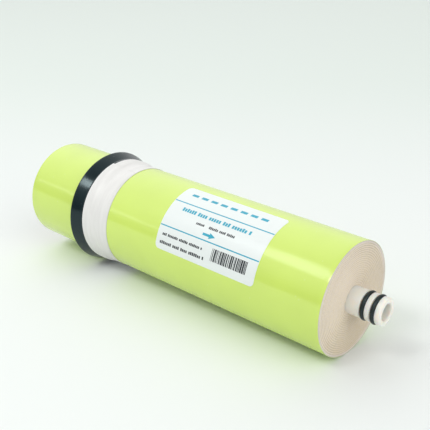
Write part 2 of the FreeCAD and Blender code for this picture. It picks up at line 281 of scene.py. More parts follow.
def rounded(corners, steps=6):
    """Closed outline through corners (x, r, rounding), each rounding an arc of steps + 1 points.

    The arc touches both sides of its corner at rounding / tan(half the corner's angle), and runs
    about a centre on the corner's bisector.
    """
    outline = []
    spots = np.array([corner[:2] for corner in corners])
    for number, (_, _, rounding) in enumerate(corners):
        spot = spots[number]
        if rounding == 0:
            outline.append(spot)
            continue
        back = spots[number - 1] - spot
        ahead = spots[(number + 1) % len(spots)] - spot
        back /= np.linalg.norm(back)
        ahead /= np.linalg.norm(ahead)
        half = math.acos(np.clip(back @ ahead, -1, 1)) / 2
        bisector = (back + ahead) / np.linalg.norm(back + ahead)
        centre = spot + bisector * rounding / math.sin(half)
        start = spot + back * rounding / math.tan(half) - centre
        finish = spot + ahead * rounding / math.tan(half) - centre
        share = np.linspace(0, 1, steps + 1)[:, None]
        sweep = math.pi - 2 * half
        arc = (np.sin((1 - share) * sweep) * start + np.sin(share * sweep) * finish) / math.sin(sweep)
        outline.extend(centre + arc)
    return np.array(outline)


def divided(outline, step):
    """The closed outline with points added so that no side is longer than step."""
    finer = []
    for start, finish in zip(outline, np.roll(outline, -1, axis=0)):
        pieces = max(1, math.ceil(np.linalg.norm(finish - start) / step))
        share = np.arange(pieces)[:, None] / pieces
        finer.append(start + (finish - start) * share)
    return np.concatenate(finer)


def make_piece(name, points, faces, materials, crease=35):
    """Object from points and faces, with doubles merged, faces outwards and hard edges kept."""
    mesh = bpy.data.meshes.new(name)
    mesh.from_pydata(points.reshape(-1, 3).tolist(), [], [list(face) for face in faces])
    shell = bmesh.new()
    shell.from_mesh(mesh)
    bmesh.ops.remove_doubles(shell, verts=shell.verts, dist=1e-7)
    bmesh.ops.dissolve_degenerate(shell, edges=shell.edges, dist=1e-8)
    bmesh.ops.recalc_face_normals(shell, faces=shell.faces)
    shell.to_mesh(mesh)
    shell.free()
    mesh.polygons.foreach_set("use_smooth", np.ones(len(mesh.polygons), dtype=bool))
    mesh.set_sharp_from_angle(angle=math.radians(crease))
    for material in materials:
        mesh.materials.append(material)
    piece = bpy.data.objects.new(name, mesh)
    bpy.context.scene.collection.objects.link(piece)
    return piece


def turned_piece(name, outline, material, columns=COLUMNS, crease=35):
    """Closed outline of (x, r) points turned all the way about X."""
    turned = np.arange(columns) * TURN / columns
    points = round_tube(outline[:, None, 0], outline[:, None, 1], turned[None, :])
    faces = grid_faces(len(outline), columns, close_rows=True, close_columns=True)
    return make_piece(name, points, faces, [material], crease)


def attach(piece, slot, *nodes):
    """The piece stands for the CAD nodes, which are hidden, and rides on the body; slot is not used."""
    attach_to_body(piece, BODY)
    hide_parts(*nodes)


# ---------------------------------------------------------------- shader helpers

def put(tree, kind, values=None, **settings):
    """New node with its settings, and its inputs set to values or linked to outputs."""
    node = tree.nodes.new(kind)
    for name, value in settings.items():
        setattr(node, name, value)
    for name, value in (values or {}).items():
        socket = node.inputs[name]
        if isinstance(value, bpy.types.NodeSocket):
            tree.links.new(value, socket)
        else:
            socket.default_value = value
    return node


def calc(tree, operation, *operands, clamp=False):
    """Result of one Math node."""
    node = put(tree, "ShaderNodeMath", dict(enumerate(operands)), operation=operation)
    node.use_clamp = clamp
    return node.outputs[0]


def remap(tree, value, low, high, to_low=0.0, to_high=1.0, smooth=False):
    """Value taken from one range to another and held inside it."""
    node = put(tree, "ShaderNodeMapRange", {
        "Value": value, "From Min": low, "From Max": high, "To Min": to_low, "To Max": to_high,
    }, interpolation_type="SMOOTHSTEP" if smooth else "LINEAR")
    return node.outputs[0]


def mix(tree, factor, first, second):
    """Colour between two colours."""
    node = put(tree, "ShaderNodeMix", {0: factor, 6: first, 7: second}, data_type="RGBA")
    return node.outputs[2]


def shade(rgb, factor=1.0):
    """Colour with alpha, made darker or lighter by a factor."""
    return (*(min(1.0, channel * factor) for channel in rgb), 1.0)


def stretched(tree, vector, scales):
    """Vector with each of its axes scaled."""
    node = put(tree, "ShaderNodeVectorMath", {0: vector, 1: scales}, operation="MULTIPLY")
    return node.outputs[0]


def noise(tree, vector, scale, detail=2.0, roughness=0.5):
    """Noise value from 0 to 1."""
    node = put(tree, "ShaderNodeTexNoise", {
        "Vector": vector, "Scale": scale, "Detail": detail, "Roughness": roughness,
    })
    return node.outputs["Fac"]


def new_group(name, inputs, outputs):
    """Empty shader node group with a vector and number inputs, and its two end nodes."""
    tree = bpy.data.node_groups.new(name, "ShaderNodeTree")
    tree.interface.new_socket("Vector", in_out="INPUT", socket_type="NodeSocketVector")
    for label, default in inputs:
        socket = tree.interface.new_socket(label, in_out="INPUT", socket_type="NodeSocketFloat")
        socket.default_value = default
    for label in outputs:
        tree.interface.new_socket(label, in_out="OUTPUT", socket_type="NodeSocketFloat")
    return tree, put(tree, "NodeGroupInput"), put(tree, "NodeGroupOutput")


def film_waves():
    """Group: soft waves of a stretched film, drawn out along the tube by Along against Round."""
    tree, given, result = new_group("film_waves", [("Along", 20.0), ("Round", 60.0)], ["Height"])
    scales = put(tree, "ShaderNodeCombineXYZ", {
        "X": given.outputs["Along"], "Y": given.outputs["Round"], "Z": given.outputs["Round"],
    })
    place = stretched(tree, given.outputs["Vector"], scales.outputs[0])
    broad = noise(tree, place, 1.0, detail=1.0)
    narrow = noise(tree, place, 3.7, detail=2.0)
    height = calc(tree, "MULTIPLY_ADD", narrow, 0.3, broad)
    tree.links.new(height, result.inputs["Height"])
    return tree


def scuffs():
    """Group: faint rubbed streaks along the tube, in patches."""
    tree, given, result = new_group("scuffs", [("Scale", 900.0), ("Cover", 0.4)], ["Mask"])
    place = stretched(tree, given.outputs["Vector"], (0.06, 1.0, 1.0))
    lines = noise(tree, place, given.outputs["Scale"], detail=3.0, roughness=0.65)
    patches = noise(tree, given.outputs["Vector"], 45.0, detail=2.0)
    edge = calc(tree, "SUBTRACT", 1.0, given.outputs["Cover"])
    fine = remap(tree, lines, 0.52, 0.72)
    where = remap(tree, patches, edge, calc(tree, "ADD", edge, 0.25))
    tree.links.new(calc(tree, "MULTIPLY", fine, where), result.inputs["Mask"])
    return tree


def dust():
    """Group: small specks, one in each cell of a Voronoi pattern whose draw is under Cover."""
    tree, given, result = new_group("dust", [("Scale", 700.0), ("Cover", 0.08)], ["Mask"])
    cells = put(tree, "ShaderNodeTexVoronoi", {
        "Vector": given.outputs["Vector"], "Scale": given.outputs["Scale"],
    })
    draw = put(tree, "ShaderNodeSeparateColor", {"Color": cells.outputs["Color"]})
    chosen = calc(tree, "LESS_THAN", draw.outputs["Red"], given.outputs["Cover"])
    spot = remap(tree, cells.outputs["Distance"], 0.10, 0.26, 1.0, 0.0)
    tree.links.new(calc(tree, "MULTIPLY", spot, chosen), result.inputs["Mask"])
    return tree


def moulded_grain():
    """Group: fine grain of a moulded surface, and a slow tone over it."""
    tree, given, result = new_group("moulded_grain", [("Scale", 1500.0)], ["Height", "Tone"])
    fine = noise(tree, given.outputs["Vector"], given.outputs["Scale"], detail=2.0)
    slow = noise(tree, given.outputs["Vector"], 70.0, detail=2.0)
    tree.links.new(fine, result.inputs["Height"])
    tree.links.new(slow, result.inputs["Tone"])
    return tree


def turned_lines():
    """Group: fine lines round the tube, Density of them a metre along it, wandering a little."""
    tree, given, result = new_group("turned_lines", [("Density", 900.0), ("Wander", 12.0)], ["Height"])
    scales = put(tree, "ShaderNodeCombineXYZ", {
        "X": given.outputs["Density"], "Y": given.outputs["Wander"], "Z": given.outputs["Wander"],
    })
    place = stretched(tree, given.outputs["Vector"], scales.outputs[0])
    tree.links.new(noise(tree, place, 1.0, detail=3.0, roughness=0.6), result.inputs["Height"])
    return tree


def use_group(tree, build, vector, **values):
    """Node that holds a group, built the first time, with its vector linked and its numbers set."""
    group = bpy.data.node_groups.get(build.__name__) or build()
    node = put(tree, "ShaderNodeGroup", node_tree=group)
    tree.links.new(vector, node.inputs["Vector"])
    for name, value in values.items():
        node.inputs[name].default_value = value
    return node


def new_material(name, **fixed):
    """Material with a Principled shader, its fixed values, and the Object coordinates."""
    material = bpy.data.materials.new(name)
    material.use_nodes = True
    tree = material.node_tree
    surface = tree.nodes["Principled BSDF"]
    for label, value in fixed.items():
        surface.inputs[label.replace("_", " ")].default_value = value
    place = put(tree, "ShaderNodeTexCoord").outputs["Object"]
    return material, tree, surface, place


def connect(tree, surface, colour_output, roughness, height, depth):
    """Links a colour, a roughness and a height of depth metres to the shader."""
    bump = put(tree, "ShaderNodeBump", {"Height": height, "Strength": 1.0, "Distance": depth})
    tree.links.new(colour_output, surface.inputs["Base Color"])
    tree.links.new(roughness, surface.inputs["Roughness"])
    tree.links.new(bump.outputs["Normal"], surface.inputs["Normal"])


# ---------------------------------------------------------------- materials

def lime_film(lime):
    """Glossy stretched film: soft waves along the tube, faint scuffs, specks of dust."""
    material, tree, surface, place = new_material("lime_film", IOR=1.5, Specular_IOR_Level=1.0)
    waves = use_group(tree, film_waves, place, Along=9.0, Round=70.0).outputs["Height"]
    rubbed = use_group(tree, scuffs, place, Scale=1100.0, Cover=0.35).outputs["Mask"]
    specks = use_group(tree, dust, place, Scale=420.0, Cover=0.03).outputs["Mask"]
    tone = remap(tree, noise(tree, place, 28.0), 0.3, 0.7)
    film = mix(tree, tone, shade(lime, 0.97), shade(lime, 1.03))
    film = mix(tree, calc(tree, "MULTIPLY", specks, 0.12), film, (0.85, 0.87, 0.80, 1))
    roughness = calc(tree, "MULTIPLY_ADD", rubbed, 0.12, 0.17)
    connect(tree, surface, film, roughness, waves, 0.00015)
    return material


def trimmed_film(pale):
    """Cut end of the film: pale, greyed down partly as painted shade of the edge, matt, with the knife's
    fine lines.
    """
    material, tree, surface, place = new_material("trimmed_film")
    grain = use_group(tree, moulded_grain, place, Scale=2600.0)
    tone = mix(tree, grain.outputs["Tone"], shade(pale, 0.9), shade(pale))
    roughness = remap(tree, grain.outputs["Height"], 0, 1, 0.5, 0.7)
    connect(tree, surface, tone, roughness, grain.outputs["Height"], 0.00002)
    return material


def wound_leaves(roll):
    """Edges of the wound layers: two membrane sheets, the carrier between them, the net.

    The layer is the fraction of radius / pitch + leaves x angle / turn, which grows by one from
    a leaf to the next and is the same spiral as the mesh.
    """
    material, tree, surface, place = new_material("wound_leaves")
    axes = put(tree, "ShaderNodeSeparateXYZ", {0: place})
    side = calc(tree, "MULTIPLY", axes.outputs["Y"], -1.0)
    up = axes.outputs["Z"]
    radius = calc(tree, "SQRT", calc(tree, "MULTIPLY_ADD", side, side, calc(tree, "MULTIPLY", up, up)))
    turned = calc(tree, "DIVIDE", calc(tree, "ARCTAN2", side, up), TURN)
    layers = calc(tree, "DIVIDE", radius, roll.pitch)
    phase = calc(tree, "FRACT", calc(tree, "MULTIPLY_ADD", turned, float(roll.leaves), layers))
    in_leaf = calc(tree, "LESS_THAN", phase, 0.45)
    in_cloth = calc(tree, "COMPARE", phase, 0.21, 0.08)
    grain = use_group(tree, moulded_grain, place, Scale=3200.0)
    fibres = noise(tree, place, 2600.0, detail=3.0)
    net = put(tree, "ShaderNodeTexVoronoi", {"Vector": place, "Scale": 900.0})
    strands = remap(tree, net.outputs["Distance"], 0.2, 0.5, 1.0, 0.62)
    spacer = mix(tree, strands, shade(roll.spacer, 0.70), shade(roll.spacer, 1.05))
    outer = remap(tree, radius, 0.55 * ROLL_RADIUS, 0.95 * ROLL_RADIUS, 0.0, 0.5)
    spacer = mix(tree, outer, spacer, shade(roll.spacer, 0.55))
    membrane = mix(tree, fibres, shade(roll.membrane, 0.88), shade(roll.membrane, 1.06))
    carrier = mix(tree, fibres, shade(roll.carrier, 0.85), shade(roll.carrier, 1.08))
    leaf = mix(tree, in_cloth, membrane, carrier)
    wound = mix(tree, in_leaf, spacer, leaf)
    stain = remap(tree, noise(tree, place, 45.0, detail=3.0), 0.35, 0.70)
    wound = mix(tree, calc(tree, "MULTIPLY", stain, 0.30), wound, shade(roll.carrier, 0.9))
    # Painted shade: the end faces turn towards the darker, warmer colour downwards and a little towards +Y,
    # below the spigot.
    lower = put(tree, "ShaderNodeVectorMath", {0: place, 1: (0, 0.3, -0.95)}, operation="DOT_PRODUCT")
    soaked = remap(tree, lower.outputs["Value"], 0.0, ROLL_RADIUS, 0.0, 0.5, smooth=True)
    wound = mix(tree, soaked, wound, shade(roll.soaked))
    fluff = remap(tree, noise(tree, place, 620.0, detail=3.0, roughness=0.7), 0.40, 0.65)
    wound = mix(tree, calc(tree, "MULTIPLY", fluff, 0.35), wound, shade(roll.rim))
    inset = calc(tree, "SUBTRACT", ROLL_RADIUS, radius)
    wound = mix(tree, remap(tree, inset, 0.6 * MM, 1.5 * MM, 0.75, 0.0), wound, shade(roll.rim))
    line = calc(tree, "COMPARE", inset, 1.9 * MM, 0.25 * MM)
    wound = mix(tree, calc(tree, "MULTIPLY", line, 0.3), wound, shade(roll.glue))
    roughness = remap(tree, grain.outputs["Height"], 0, 1, 0.7, 0.9)
    connect(tree, surface, wound, roughness, fibres, 0.00006)
    return material


def tube_plastic(name, plastic):
    """Smooth moulded plastic: slight mould lines, faint grain and a slow change of tone."""
    material, tree, surface, place = new_material(name, IOR=1.5, Subsurface_Weight=0.9,
                                                  Subsurface_Radius=(1.0, 0.8, 0.6),
                                                  Subsurface_Scale=3 * MM)
    grain = use_group(tree, moulded_grain, place, Scale=2200.0)
    lines = use_group(tree, turned_lines, place, Density=1600.0, Wander=20.0).outputs["Height"]
    rubbed = use_group(tree, scuffs, place, Scale=1500.0, Cover=0.3).outputs["Mask"]
    tone = mix(tree, grain.outputs["Tone"], shade(plastic, 0.96), shade(plastic, 1.03))
    roughness = calc(tree, "MULTIPLY_ADD", rubbed, 0.15, 0.33)
    height = calc(tree, "MULTIPLY_ADD", lines, 0.5, grain.outputs["Height"])
    connect(tree, surface, tone, roughness, height, 0.00001)
    return material


def black_rubber(name, rubber, shine, gloss, lines_depth):
    """Moulded rubber: lines left by the turned mould, fine grain, a little dust."""
    material, tree, surface, place = new_material(name, Specular_IOR_Level=shine,
                                                  Specular_Tint=(0.78, 0.97, 1.0, 1.0))
    grain = use_group(tree, moulded_grain, place, Scale=2400.0)
    lines = use_group(tree, turned_lines, place, Density=2200.0, Wander=6.0).outputs["Height"]
    specks = use_group(tree, dust, place, Scale=900.0, Cover=0.06).outputs["Mask"]
    tone = mix(tree, grain.outputs["Tone"], shade(rubber, 0.8), shade(rubber, 1.5))
    tone = mix(tree, calc(tree, "MULTIPLY", specks, 0.22), tone, (0.35, 0.36, 0.36, 1))
    roughness = remap(tree, grain.outputs["Tone"], 0.3, 0.7, gloss, gloss + 0.08)
    height = calc(tree, "MULTIPLY_ADD", lines, lines_depth, grain.outputs["Height"])
    connect(tree, surface, tone, roughness, height, 0.00001)
    return material


def white_tape(white, adhesive):
    """Stretched vinyl tape: fine lines and puckers, uneven white, and painted shade along its outlet edge.
    """
    material, tree, surface, place = new_material("white_tape", IOR=1.48)
    lines = use_group(tree, turned_lines, place, Density=300.0, Wander=35.0).outputs["Height"]
    fine = use_group(tree, turned_lines, place, Density=1500.0, Wander=60.0).outputs["Height"]
    waves = use_group(tree, film_waves, place, Along=110.0, Round=38.0).outputs["Height"]
    rubbed = use_group(tree, scuffs, place, Scale=1300.0, Cover=0.3).outputs["Mask"]
    tone = mix(tree, remap(tree, lines, 0.35, 0.65), shade(white, 0.95), shade(white, 1.02))
    tone = mix(tree, calc(tree, "MULTIPLY", rubbed, 0.1), tone, (0.60, 0.60, 0.58, 1))
    along = put(tree, "ShaderNodeSeparateXYZ", {0: place}).outputs["X"]
    # Painted shade: a grey band over the last 0.7 mm of the tape before its outlet edge.
    edge = remap(tree, along, TAPE_END - 0.7 * MM, TAPE_END - 0.3 * MM)
    tone = mix(tree, calc(tree, "MULTIPLY", edge, 0.35), tone, shade(adhesive))
    height = calc(tree, "ADD", calc(tree, "MULTIPLY_ADD", fine, 0.25, lines), waves)
    roughness = remap(tree, fine, 0.3, 0.7, 0.36, 0.46)
    connect(tree, surface, tone, roughness, height, 0.00009)
    return material


def label_film(white):
    """Glossy label stock over the film's soft waves."""
    material, tree, surface, place = new_material("label_film", IOR=1.5)
    waves = use_group(tree, film_waves, place, Along=12.0, Round=60.0).outputs["Height"]
    grain = use_group(tree, moulded_grain, place, Scale=1800.0)
    rubbed = use_group(tree, scuffs, place, Scale=1200.0, Cover=0.3).outputs["Mask"]
    tone = mix(tree, grain.outputs["Tone"], shade(white, 0.985), shade(white, 1.01))
    height = calc(tree, "MULTIPLY_ADD", grain.outputs["Height"], 0.03, waves)
    roughness = calc(tree, "MULTIPLY_ADD", rubbed, 0.15, 0.24)
    connect(tree, surface, tone, roughness, height, 0.00015)
    return material


def ink(name, pigment):
    """Printed ink with small pinholes and an uneven tone."""
    material, tree, surface, place = new_material(name, IOR=1.5)
    grain = use_group(tree, moulded_grain, place, Scale=3000.0)
    pinholes = use_group(tree, dust, place, Scale=2600.0, Cover=0.05).outputs["Mask"]
    tone = mix(tree, grain.outputs["Tone"], shade(pigment, 0.9), shade(pigment, 1.15))
    tone = mix(tree, calc(tree, "MULTIPLY", pinholes, 0.3), tone, (0.8, 0.85, 0.85, 1))
    roughness = remap(tree, grain.outputs["Height"], 0, 1, 0.28, 0.42)
    connect(tree, surface, tone, roughness, grain.outputs["Height"], 0.000005)
    return material


def pale_floor(stage, away):
    """Matt floor: pale round the part, and a little darker far behind it as painted shade."""
    material, tree, surface, place = new_material("pale_floor", IOR=1.3)
    behind = put(tree, "ShaderNodeVectorMath", {0: place, 1: away}, operation="DOT_PRODUCT")
    # Painted shade: the floor darkens towards the far colour behind the part.
    far = remap(tree, behind.outputs["Value"], 0.1, 0.8, smooth=True)
    tone = mix(tree, far, shade(stage.floor), shade(stage.far_floor))
    grain = noise(tree, place, 900.0)
    connect(tree, surface, tone, remap(tree, grain, 0, 1, 0.8, 0.9), grain, 0.00002)
    return material


# ---------------------------------------------------------------- pieces

class MEMBRANE_OT_leaf_pack(bpy.types.Operator):
    """Leaf pack with the wound edges of its layers on both ends"""

    bl_idname = "membrane.leaf_pack"
    bl_label = "Leaf Pack"

    def execute(self, context):
        roll = context.scene.membrane.roll
        columns = 256
        turned = np.linspace(0, TURN, columns + 1)[None, :]
        climb = roll.leaves * turned / TURN
        marks = np.array([0, 0.11, 0.14, 0.28, 0.31, 0.42, 0.48, 0.94])
        first = math.floor(TUBE_RADIUS / roll.pitch)
        last = math.ceil(ROLL_RADIUS / roll.pitch) + roll.leaves
        rows = (np.arange(first, last)[:, None] + marks[None, :]).reshape(-1, 1)
        radius = np.clip(roll.pitch * (rows - climb), TUBE_RADIUS, ROLL_RADIUS)
        height = self.heights(roll, radius / roll.pitch + climb, turned, marks)
        outlet = round_tube(ROLL_END + height, radius, turned)
        feed = round_tube(ROLL_START - height, radius, turned)[::-1]
        points = np.concatenate([outlet, feed])
        faces = grid_faces(len(points), columns + 1, close_rows=True)
        piece = make_piece("leaf_pack", points, faces, [wound_leaves(roll)], crease=80)
        attach(piece, "leaves", "membrane_roll")
        return {"FINISHED"}

    @staticmethod
    def heights(roll, phase, turned, marks):
        """Height of the end face: crests for sheets and carrier, valleys for the spacer.

        phase counts the leaves outwards. Each leaf's own setback is a sum of two sines of the
        angle unwound along it, so it runs on from one turn to the next.
        """
        layer = np.floor(phase + 1e-6)
        share = phase - layer
        shape = np.interp(share, np.append(marks, 1), [0, 0, -0.3, -0.3, 0, 0, -1, -1, 0])
        crest = np.interp(share, np.append(marks, 1), [1, 1, 1, 1, 1, 1, 0, 0, 1])
        leaf = np.mod(layer, roll.leaves)
        unwound = turned + TURN * (layer - leaf) / roll.leaves
        setback = 0.5 + 0.3 * np.sin(0.9 * unwound + 2.1 * leaf) + 0.2 * np.sin(3.7 * unwound + leaf)
        return roll.relief * shape - roll.unevenness * crest * setback


class MEMBRANE_OT_outer_film(bpy.types.Operator):
    """Film wound round the leaf pack, with soft hollows and its own overlap"""

    bl_idname = "membrane.outer_film"
    bl_label = "Outer Film"

    def execute(self, context):
        film = context.scene.membrane.film
        columns = 2 * COLUMNS
        outline = divided(rounded([
            (ROLL_START, ROLL_RADIUS, 0), (ROLL_START, WRAP_RADIUS, film.edge_round),
            (ROLL_END, WRAP_RADIUS, film.edge_round), (ROLL_END, ROLL_RADIUS, 0),
        ], steps=4), 4 * MM)
        along = outline[:, None, 0]
        radius = outline[:, None, 1]
        turned = (np.arange(columns) * TURN / columns)[None, :]
        outside = (radius - ROLL_RADIUS) / (WRAP_RADIUS - ROLL_RADIUS)
        radius = radius + outside * self.lift(film, along, turned)
        points = round_tube(along, radius, turned)
        faces = grid_faces(len(outline), columns, close_rows=True, close_columns=True)
        piece = make_piece("outer_film", points, faces,
                           [lime_film(film.lime), trimmed_film(film.trimmed)], crease=50)
        self.mark_ends(piece.data)
        attach(piece, "wrap", "outer_wrap")
        return {"FINISHED"}

    @staticmethod
    def lift(film, along, turned):
        """Height of the film over its round: hollows of crossed sines, less the overlap's step.

        The step rises over a short ramp where the film climbs on its own start, and ends
        sharply at the free edge.
        """
        hollow = (np.sin(31 * along + 3 * turned) * np.sin(47 * along - 5 * turned + 1)
                  + np.sin(90 * along + 7 * turned)) / 4 - 0.5
        before_edge = np.mod(film.overlap_angle - turned, TURN) * WRAP_RADIUS
        ramp = np.clip((film.overlap_width - before_edge) / (2 * MM), 0, 1)
        return film.sag * hollow + film.overlap_step * ramp

    @staticmethod
    def mark_ends(mesh):
        """Second material on the film's ends and on its inside."""
        normals = np.empty(len(mesh.polygons) * 3)
        mesh.polygons.foreach_get("normal", normals)
        centres = np.empty(len(mesh.polygons) * 3)
        mesh.polygons.foreach_get("center", centres)
        inside = np.hypot(*centres.reshape(-1, 3)[:, 1:].T) < ROLL_RADIUS + 0.02 * MM
        ends = inside | (np.abs(normals.reshape(-1, 3)[:, 0]) > 0.2)
        mesh.polygons.foreach_set("material_index", ends.astype(np.int32))


class MEMBRANE_OT_permeate_tube(bpy.types.Operator):
    """Moulded permeate tube with its two O-ring grooves and a rounded nose"""

    bl_idname = "membrane.permeate_tube"
    bl_label = "Permeate Tube"

    def execute(self, context):
        tube = context.scene.membrane.tube
        floor = TUBE_RADIUS - tube.groove_depth
        half = (RING_CORD + tube.groove_play) / 2
        brim = 0.2 * MM
        corners = [(TUBE_START, TUBE_RADIUS - tube.stub_chamfer, 0.2 * MM),
                   (TUBE_START + tube.stub_chamfer, TUBE_RADIUS, 0.2 * MM)]
        for middle in (FIRST_RING, FIRST_RING + RING_SPACING):
            corners += [(middle - half, TUBE_RADIUS, brim), (middle - half, floor, brim),
                        (middle + half, floor, brim), (middle + half, TUBE_RADIUS, brim)]
        corners += [(TUBE_END, TUBE_RADIUS, tube.nose_round),
                    (TUBE_END, BORE_RADIUS, tube.mouth_round),
                    (PLUG_END, BORE_RADIUS, 0), (PLUG_END, PLUG_RADIUS, 0),
                    (TUBE_START, PLUG_RADIUS, 0.2 * MM)]
        material = tube_plastic("tube_plastic", tube.plastic)
        piece = turned_piece("tube_body", rounded(corners), material)
        attach(piece, "tube", "permeate_tube")
        return {"FINISHED"}


class MEMBRANE_OT_blind_plug(bpy.types.Operator):
    """Blind plug in the feed end of the tube, with a shallow dish in its face"""

    bl_idname = "membrane.blind_plug"
    bl_label = "Blind Plug"

    def execute(self, context):
        tube = context.scene.membrane.tube
        rim = PLUG_RADIUS - 1.3 * MM
        lead = 0.6 * MM
        corners = [(PLUG_START + tube.plug_dimple, 0, 0),
                   (PLUG_START + tube.plug_dimple, rim - tube.plug_dimple, 0.3 * MM),
                   (PLUG_START, rim, 0.2 * MM), (PLUG_START, PLUG_RADIUS, 0.25 * MM),
                   (PLUG_END - lead, PLUG_RADIUS, 0), (PLUG_END, PLUG_RADIUS - lead, 0),
                   (PLUG_END, 0, 0)]
        material = tube_plastic("plug_plastic", tube.plug_plastic)
        piece = turned_piece("blind_plug", rounded(corners), material, columns=96)
        attach(piece, "tube", "tube_plug")
        return {"FINISHED"}


class MEMBRANE_OT_o_rings(bpy.types.Operator):
    """Two O-rings, each with the fine flash lines of its mould"""

    bl_idname = "membrane.o_rings"
    bl_label = "O-Rings"

    def execute(self, context):
        tube = context.scene.membrane.tube
        material = black_rubber("ring_rubber", tube.rubber, 0.50, 0.26, 0.2)
        cord = RING_CORD / 2
        middle = RING_RADIUS - cord
        round_cord = np.linspace(0, TURN, 48, endpoint=False)
        flash = 0.04 * MM * np.exp(-(np.sin(round_cord) / 0.08) ** 2)
        for node, station in (("o_ring_inner", FIRST_RING),
                              ("o_ring_outer", FIRST_RING + RING_SPACING)):
            outline = np.stack([station + (cord + flash) * np.sin(round_cord + math.pi / 2),
                                middle + (cord + flash) * np.cos(round_cord + math.pi / 2)], axis=-1)
            piece = turned_piece(node.replace("o_ring", "seal_ring"), outline, material, columns=128)
            attach(piece, "o_ring", node)
        return {"FINISHED"}


class MEMBRANE_OT_lip_seal(bpy.types.Operator):
    """Rubber seal: base on the film and a flared lip with rounded edges"""

    bl_idname = "membrane.lip_seal"
    bl_label = "Lip Seal"

    def execute(self, context):
        seal = context.scene.membrane.seal
        base = WRAP_RADIUS + seal.base
        root = SEAL_START + seal.lip_reach
        corners = [(root, WRAP_RADIUS, 0), (SEAL_END, WRAP_RADIUS, 0),
                   (SEAL_END, WRAP_RADIUS + seal.toe, 0.1 * MM),
                   (SEAL_END - seal.toe_length, base, 0.4 * MM),
                   (root, base, seal.root_round),
                   (SEAL_START, base + seal.lip_rise, seal.lip_round),
                   (SEAL_START, base + seal.lip_rise - seal.lip_edge, seal.lip_round),
                   (root, base - seal.lip_root, 0.12 * MM)]
        outline = divided(rounded(corners), 1.5 * MM)
        material = black_rubber("seal_rubber", seal.rubber, 0.42, 0.16, 0.4)
        piece = turned_piece("lip_seal", outline, material, columns=2 * COLUMNS)
        attach(piece, "seal", "brine_seal")
        return {"FINISHED"}


class MEMBRANE_OT_seal_tape(bpy.types.Operator):
    """White tape over the seal's base: full under turns and a last turn with a free end"""

    bl_idname = "membrane.seal_tape"
    bl_label = "Seal Tape"

    def execute(self, context):
        tape = context.scene.membrane.tape
        seal = context.scene.membrane.seal
        columns = 2 * COLUMNS
        under_start = TAPE_START + tape.drift
        round_all = (np.arange(columns) * TURN / columns)[None, :]
        lower = self.band(tape, seal, under_start, TAPE_END, round_all, 0, tape.thickness)
        rows = len(lower)
        faces = grid_faces(rows, columns, close_rows=True, close_columns=True)
        share = np.linspace(0, 1, columns)[None, :]
        teeth = self.teeth(rows)
        sweep = tape.end_angle + teeth + share * (tape.sweep - teeth)
        upper = self.band(tape, seal, TAPE_START, TAPE_END - tape.drift, sweep,
                          tape.thickness - 0.02 * MM, tape.thickness + tape.last_turn)
        offset = rows * columns
        strip = grid_faces(rows, columns, close_rows=True) + offset
        free_end = offset + np.arange(rows) * columns
        ends = [free_end, free_end + columns - 1]
        points = np.concatenate([lower, upper])
        piece = make_piece("tape_band", points, [*faces, *strip, *ends],
                           [white_tape(tape.white, tape.adhesive)], crease=40)
        attach(piece, "tape", "seal_tape")
        return {"FINISHED"}

    @staticmethod
    def teeth(rows):
        """Angle of the cut end's teeth at each row: a zigzag a few rows long."""
        zigzag = np.abs(np.mod(np.arange(rows), 4) - 2)[:, None]
        return zigzag * 0.12 * MM / WRAP_RADIUS

    @classmethod
    def band(cls, tape, seal, start, finish, turned, inner, outer):
        """Cross-sections of tape between two heights over what it covers, all round."""
        top = np.linspace(0, 1, 72)
        below = np.linspace(1, 0, 24)
        along = start + (finish - start) * np.concatenate([top, below])[:, None]
        height = np.concatenate([np.full(len(top), outer), np.full(len(below), inner)])[:, None]
        radius = cls.cover(tape, seal, along) + cls.creases(tape, along, turned) + height
        return round_tube(along, radius, turned)

    @staticmethod
    def cover(tape, seal, along):
        """Radius under the tape: the seal's base, a smooth step down to the film, the film."""
        landing = SEAL_END + 2.0 * MM
        share = np.clip((landing - along) / tape.slope, 0, 1)
        return WRAP_RADIUS + seal.base * share ** 2 * (3 - 2 * share)

    @staticmethod
    def creases(tape, along, turned):
        """Long low ridges round the tape, each a bell across and a bell along its own arc."""
        draw = np.random.default_rng(11)
        total = np.zeros(np.broadcast(along, turned).shape)
        for _ in range(26):
            centre = draw.uniform(0, TURN)
            reach = draw.uniform(0.15, 0.6)
            station = SEAL_END + draw.uniform(-2.5, 4.5) * MM
            lean = draw.uniform(-1.5, 1.5) * MM
            width = draw.uniform(0.25, 0.6) * MM
            height = tape.crease * draw.uniform(0.3, 1.0)
            away = np.mod(turned - centre + math.pi, TURN) - math.pi
            across = along - station - lean * away
            total = total + height * np.exp(-(across / width) ** 2 - (away / reach) ** 2)
        return total


